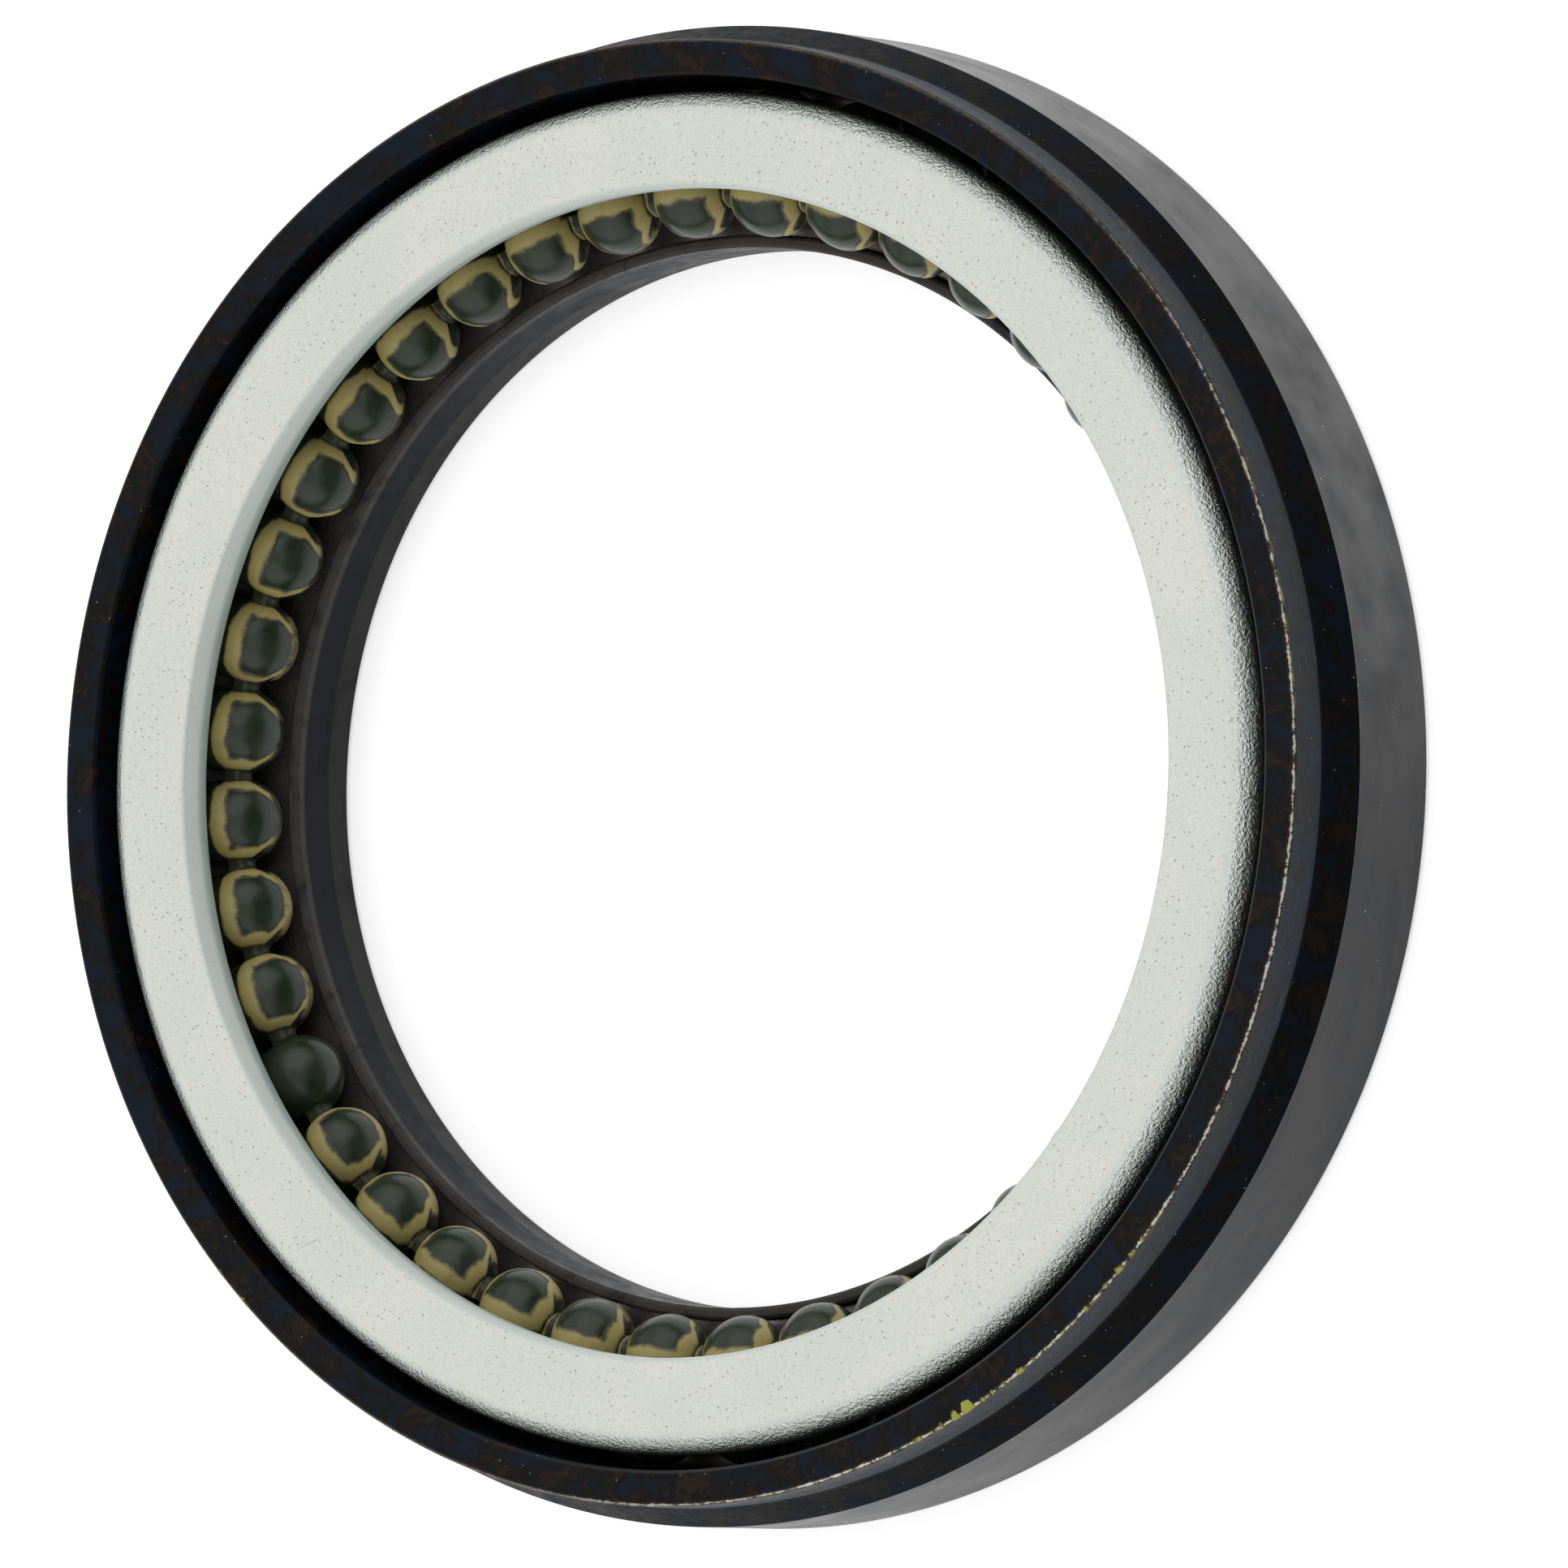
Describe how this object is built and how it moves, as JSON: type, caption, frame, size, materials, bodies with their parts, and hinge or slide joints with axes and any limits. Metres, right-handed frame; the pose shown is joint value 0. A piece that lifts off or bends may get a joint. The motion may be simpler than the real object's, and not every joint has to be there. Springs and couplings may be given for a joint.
{
  "type": "thrust needle roller bearing",
  "caption": "Thrust needle roller bearing: black stepped housing ring, bright thrust washer inside its wall, and a full complement of round-ended rollers lying radially between them.",
  "frame": {"origin": "centre of the housing's back face, at the bottom centre of the bounding box", "axes": "+Z along the bearing's axis, from the housing's back face towards the thrust washer; the rollers' places are counted from +X"},
  "size_m": [0.07, 0.07, 0.0104],
  "materials": {
    "black_oxide_steel": "smooth black oxide with a satin ground outer band",
    "zinc_plate": "pale matt zinc plate with fine pits",
    "roller_steel": "polished steel under a film of grease",
    "grease": "yellow-green bearing grease"
  },
  "bodies": {
    "housing": {"housing_ring": "black_oxide_steel"},
    "washer": {"thrust_washer": "zinc_plate"},
    "roller_set": {"grease_bars": "grease"},
    "roller_01": {"roller_01": "roller_steel"},
    "roller_02": {"roller_02": "roller_steel"},
    "roller_03": {"roller_03": "roller_steel"},
    "roller_04": {"roller_04": "roller_steel"},
    "roller_05": {"roller_05": "roller_steel"},
    "roller_06": {"roller_06": "roller_steel"},
    "roller_07": {"roller_07": "roller_steel"},
    "roller_08": {"roller_08": "roller_steel"},
    "roller_09": {"roller_09": "roller_steel"},
    "roller_10": {"roller_10": "roller_steel"},
    "roller_11": {"roller_11": "roller_steel"},
    "roller_12": {"roller_12": "roller_steel"},
    "roller_13": {"roller_13": "roller_steel"},
    "roller_14": {"roller_14": "roller_steel"},
    "roller_15": {"roller_15": "roller_steel"},
    "roller_16": {"roller_16": "roller_steel"},
    "roller_17": {"roller_17": "roller_steel"},
    "roller_18": {"roller_18": "roller_steel"},
    "roller_19": {"roller_19": "roller_steel"},
    "roller_20": {"roller_20": "roller_steel"},
    "roller_21": {"roller_21": "roller_steel"},
    "roller_22": {"roller_22": "roller_steel"},
    "roller_23": {"roller_23": "roller_steel"},
    "roller_24": {"roller_24": "roller_steel"},
    "roller_25": {"roller_25": "roller_steel"},
    "roller_26": {"roller_26": "roller_steel"},
    "roller_27": {"roller_27": "roller_steel"},
    "roller_28": {"roller_28": "roller_steel"},
    "roller_29": {"roller_29": "roller_steel"},
    "roller_30": {"roller_30": "roller_steel"},
    "roller_31": {"roller_31": "roller_steel"},
    "roller_32": {"roller_32": "roller_steel"},
    "roller_33": {"roller_33": "roller_steel"},
    "roller_34": {"roller_34": "roller_steel"},
    "roller_35": {"roller_35": "roller_steel"},
    "roller_36": {"roller_36": "roller_steel"},
    "roller_37": {"roller_37": "roller_steel"},
    "roller_38": {"roller_38": "roller_steel"},
    "roller_39": {"roller_39": "roller_steel"},
    "roller_40": {"roller_40": "roller_steel"}
  },
  "joints": [
    {"name": "washer_turn", "type": "hinge", "parent": "housing", "child": "washer", "pos_m": [0, 0, 0], "axis": [0, 0, 1], "continuous": true},
    {"name": "roller_set_orbit", "type": "hinge", "parent": "housing", "child": "roller_set", "pos_m": [0, 0, 0], "axis": [0, 0, 1], "continuous": true},
    {"name": "roller_01_spin", "type": "hinge", "parent": "roller_set", "child": "roller_01", "pos_m": [0.02861, 0.00225, 0.00582], "axis": [0.9969, 0.0785, 0], "continuous": true},
    {"name": "roller_02_spin", "type": "hinge", "parent": "roller_set", "child": "roller_02", "pos_m": [0.02791, 0.0067, 0.00582], "axis": [0.9724, 0.2334, 0], "continuous": true},
    {"name": "roller_03_spin", "type": "hinge", "parent": "roller_set", "child": "roller_03", "pos_m": [0.02652, 0.01098, 0.00582], "axis": [0.9239, 0.3827, 0], "continuous": true},
    {"name": "roller_04_spin", "type": "hinge", "parent": "roller_set", "child": "roller_04", "pos_m": [0.02447, 0.015, 0.00582], "axis": [0.8526, 0.5225, 0], "continuous": true},
    {"name": "roller_05_spin", "type": "hinge", "parent": "roller_set", "child": "roller_05", "pos_m": [0.02182, 0.01864, 0.00582], "axis": [0.7604, 0.6494, 0], "continuous": true},
    {"name": "roller_06_spin", "type": "hinge", "parent": "roller_set", "child": "roller_06", "pos_m": [0.01864, 0.02182, 0.00582], "axis": [0.6494, 0.7604, 0], "continuous": true},
    {"name": "roller_07_spin", "type": "hinge", "parent": "roller_set", "child": "roller_07", "pos_m": [0.015, 0.02447, 0.00582], "axis": [0.5225, 0.8526, 0], "continuous": true},
    {"name": "roller_08_spin", "type": "hinge", "parent": "roller_set", "child": "roller_08", "pos_m": [0.01098, 0.02652, 0.00582], "axis": [0.3827, 0.9239, 0], "continuous": true},
    {"name": "roller_09_spin", "type": "hinge", "parent": "roller_set", "child": "roller_09", "pos_m": [0.0067, 0.02791, 0.00582], "axis": [0.2334, 0.9724, 0], "continuous": true},
    {"name": "roller_10_spin", "type": "hinge", "parent": "roller_set", "child": "roller_10", "pos_m": [0.00225, 0.02861, 0.00582], "axis": [0.0785, 0.9969, 0], "continuous": true},
    {"name": "roller_11_spin", "type": "hinge", "parent": "roller_set", "child": "roller_11", "pos_m": [-0.00225, 0.02861, 0.00582], "axis": [-0.0785, 0.9969, 0], "continuous": true},
    {"name": "roller_12_spin", "type": "hinge", "parent": "roller_set", "child": "roller_12", "pos_m": [-0.0067, 0.02791, 0.00582], "axis": [-0.2334, 0.9724, 0], "continuous": true},
    {"name": "roller_13_spin", "type": "hinge", "parent": "roller_set", "child": "roller_13", "pos_m": [-0.01098, 0.02652, 0.00582], "axis": [-0.3827, 0.9239, 0], "continuous": true},
    {"name": "roller_14_spin", "type": "hinge", "parent": "roller_set", "child": "roller_14", "pos_m": [-0.015, 0.02447, 0.00582], "axis": [-0.5225, 0.8526, 0], "continuous": true},
    {"name": "roller_15_spin", "type": "hinge", "parent": "roller_set", "child": "roller_15", "pos_m": [-0.01864, 0.02182, 0.00582], "axis": [-0.6494, 0.7604, 0], "continuous": true},
    {"name": "roller_16_spin", "type": "hinge", "parent": "roller_set", "child": "roller_16", "pos_m": [-0.02182, 0.01864, 0.00582], "axis": [-0.7604, 0.6494, 0], "continuous": true},
    {"name": "roller_17_spin", "type": "hinge", "parent": "roller_set", "child": "roller_17", "pos_m": [-0.02447, 0.015, 0.00582], "axis": [-0.8526, 0.5225, 0], "continuous": true},
    {"name": "roller_18_spin", "type": "hinge", "parent": "roller_set", "child": "roller_18", "pos_m": [-0.02652, 0.01098, 0.00582], "axis": [-0.9239, 0.3827, 0], "continuous": true},
    {"name": "roller_19_spin", "type": "hinge", "parent": "roller_set", "child": "roller_19", "pos_m": [-0.02791, 0.0067, 0.00582], "axis": [-0.9724, 0.2334, 0], "continuous": true},
    {"name": "roller_20_spin", "type": "hinge", "parent": "roller_set", "child": "roller_20", "pos_m": [-0.02861, 0.00225, 0.00582], "axis": [-0.9969, 0.0785, 0], "continuous": true},
    {"name": "roller_21_spin", "type": "hinge", "parent": "roller_set", "child": "roller_21", "pos_m": [-0.02861, -0.00225, 0.00582], "axis": [-0.9969, -0.0785, 0], "continuous": true},
    {"name": "roller_22_spin", "type": "hinge", "parent": "roller_set", "child": "roller_22", "pos_m": [-0.02791, -0.0067, 0.00582], "axis": [-0.9724, -0.2334, 0], "continuous": true},
    {"name": "roller_23_spin", "type": "hinge", "parent": "roller_set", "child": "roller_23", "pos_m": [-0.02652, -0.01098, 0.00582], "axis": [-0.9239, -0.3827, 0], "continuous": true},
    {"name": "roller_24_spin", "type": "hinge", "parent": "roller_set", "child": "roller_24", "pos_m": [-0.02447, -0.015, 0.00582], "axis": [-0.8526, -0.5225, 0], "continuous": true},
    {"name": "roller_25_spin", "type": "hinge", "parent": "roller_set", "child": "roller_25", "pos_m": [-0.02182, -0.01864, 0.00582], "axis": [-0.7604, -0.6494, 0], "continuous": true},
    {"name": "roller_26_spin", "type": "hinge", "parent": "roller_set", "child": "roller_26", "pos_m": [-0.01864, -0.02182, 0.00582], "axis": [-0.6494, -0.7604, 0], "continuous": true},
    {"name": "roller_27_spin", "type": "hinge", "parent": "roller_set", "child": "roller_27", "pos_m": [-0.015, -0.02447, 0.00582], "axis": [-0.5225, -0.8526, 0], "continuous": true},
    {"name": "roller_28_spin", "type": "hinge", "parent": "roller_set", "child": "roller_28", "pos_m": [-0.01098, -0.02652, 0.00582], "axis": [-0.3827, -0.9239, 0], "continuous": true},
    {"name": "roller_29_spin", "type": "hinge", "parent": "roller_set", "child": "roller_29", "pos_m": [-0.0067, -0.02791, 0.00582], "axis": [-0.2334, -0.9724, 0], "continuous": true},
    {"name": "roller_30_spin", "type": "hinge", "parent": "roller_set", "child": "roller_30", "pos_m": [-0.00225, -0.02861, 0.00582], "axis": [-0.0785, -0.9969, 0], "continuous": true},
    {"name": "roller_31_spin", "type": "hinge", "parent": "roller_set", "child": "roller_31", "pos_m": [0.00225, -0.02861, 0.00582], "axis": [0.0785, -0.9969, 0], "continuous": true},
    {"name": "roller_32_spin", "type": "hinge", "parent": "roller_set", "child": "roller_32", "pos_m": [0.0067, -0.02791, 0.00582], "axis": [0.2334, -0.9724, 0], "continuous": true},
    {"name": "roller_33_spin", "type": "hinge", "parent": "roller_set", "child": "roller_33", "pos_m": [0.01098, -0.02652, 0.00582], "axis": [0.3827, -0.9239, 0], "continuous": true},
    {"name": "roller_34_spin", "type": "hinge", "parent": "roller_set", "child": "roller_34", "pos_m": [0.015, -0.02447, 0.00582], "axis": [0.5225, -0.8526, 0], "continuous": true},
    {"name": "roller_35_spin", "type": "hinge", "parent": "roller_set", "child": "roller_35", "pos_m": [0.01864, -0.02182, 0.00582], "axis": [0.6494, -0.7604, 0], "continuous": true},
    {"name": "roller_36_spin", "type": "hinge", "parent": "roller_set", "child": "roller_36", "pos_m": [0.02182, -0.01864, 0.00582], "axis": [0.7604, -0.6494, 0], "continuous": true},
    {"name": "roller_37_spin", "type": "hinge", "parent": "roller_set", "child": "roller_37", "pos_m": [0.02447, -0.015, 0.00582], "axis": [0.8526, -0.5225, 0], "continuous": true},
    {"name": "roller_38_spin", "type": "hinge", "parent": "roller_set", "child": "roller_38", "pos_m": [0.02652, -0.01098, 0.00582], "axis": [0.9239, -0.3827, 0], "continuous": true},
    {"name": "roller_39_spin", "type": "hinge", "parent": "roller_set", "child": "roller_39", "pos_m": [0.02791, -0.0067, 0.00582], "axis": [0.9724, -0.2334, 0], "continuous": true},
    {"name": "roller_40_spin", "type": "hinge", "parent": "roller_set", "child": "roller_40", "pos_m": [0.02861, -0.00225, 0.00582], "axis": [0.9969, -0.0785, 0], "continuous": true}
  ],
  "couplings": [
    {"joint": "roller_set_orbit", "follows": "washer_turn", "ratio": 0.5},
    {"joint": "roller_01_spin", "follows": "washer_turn", "ratio": -7.175},
    {"joint": "roller_02_spin", "follows": "washer_turn", "ratio": -7.175},
    {"joint": "roller_03_spin", "follows": "washer_turn", "ratio": -7.175},
    {"joint": "roller_04_spin", "follows": "washer_turn", "ratio": -7.175},
    {"joint": "roller_05_spin", "follows": "washer_turn", "ratio": -7.175},
    {"joint": "roller_06_spin", "follows": "washer_turn", "ratio": -7.175},
    {"joint": "roller_07_spin", "follows": "washer_turn", "ratio": -7.175},
    {"joint": "roller_08_spin", "follows": "washer_turn", "ratio": -7.175},
    {"joint": "roller_09_spin", "follows": "washer_turn", "ratio": -7.175},
    {"joint": "roller_10_spin", "follows": "washer_turn", "ratio": -7.175},
    {"joint": "roller_11_spin", "follows": "washer_turn", "ratio": -7.175},
    {"joint": "roller_12_spin", "follows": "washer_turn", "ratio": -7.175},
    {"joint": "roller_13_spin", "follows": "washer_turn", "ratio": -7.175},
    {"joint": "roller_14_spin", "follows": "washer_turn", "ratio": -7.175},
    {"joint": "roller_15_spin", "follows": "washer_turn", "ratio": -7.175},
    {"joint": "roller_16_spin", "follows": "washer_turn", "ratio": -7.175},
    {"joint": "roller_17_spin", "follows": "washer_turn", "ratio": -7.175},
    {"joint": "roller_18_spin", "follows": "washer_turn", "ratio": -7.175},
    {"joint": "roller_19_spin", "follows": "washer_turn", "ratio": -7.175},
    {"joint": "roller_20_spin", "follows": "washer_turn", "ratio": -7.175},
    {"joint": "roller_21_spin", "follows": "washer_turn", "ratio": -7.175},
    {"joint": "roller_22_spin", "follows": "washer_turn", "ratio": -7.175},
    {"joint": "roller_23_spin", "follows": "washer_turn", "ratio": -7.175},
    {"joint": "roller_24_spin", "follows": "washer_turn", "ratio": -7.175},
    {"joint": "roller_25_spin", "follows": "washer_turn", "ratio": -7.175},
    {"joint": "roller_26_spin", "follows": "washer_turn", "ratio": -7.175},
    {"joint": "roller_27_spin", "follows": "washer_turn", "ratio": -7.175},
    {"joint": "roller_28_spin", "follows": "washer_turn", "ratio": -7.175},
    {"joint": "roller_29_spin", "follows": "washer_turn", "ratio": -7.175},
    {"joint": "roller_30_spin", "follows": "washer_turn", "ratio": -7.175},
    {"joint": "roller_31_spin", "follows": "washer_turn", "ratio": -7.175},
    {"joint": "roller_32_spin", "follows": "washer_turn", "ratio": -7.175},
    {"joint": "roller_33_spin", "follows": "washer_turn", "ratio": -7.175},
    {"joint": "roller_34_spin", "follows": "washer_turn", "ratio": -7.175},
    {"joint": "roller_35_spin", "follows": "washer_turn", "ratio": -7.175},
    {"joint": "roller_36_spin", "follows": "washer_turn", "ratio": -7.175},
    {"joint": "roller_37_spin", "follows": "washer_turn", "ratio": -7.175},
    {"joint": "roller_38_spin", "follows": "washer_turn", "ratio": -7.175},
    {"joint": "roller_39_spin", "follows": "washer_turn", "ratio": -7.175},
    {"joint": "roller_40_spin", "follows": "washer_turn", "ratio": -7.175}
  ]
}
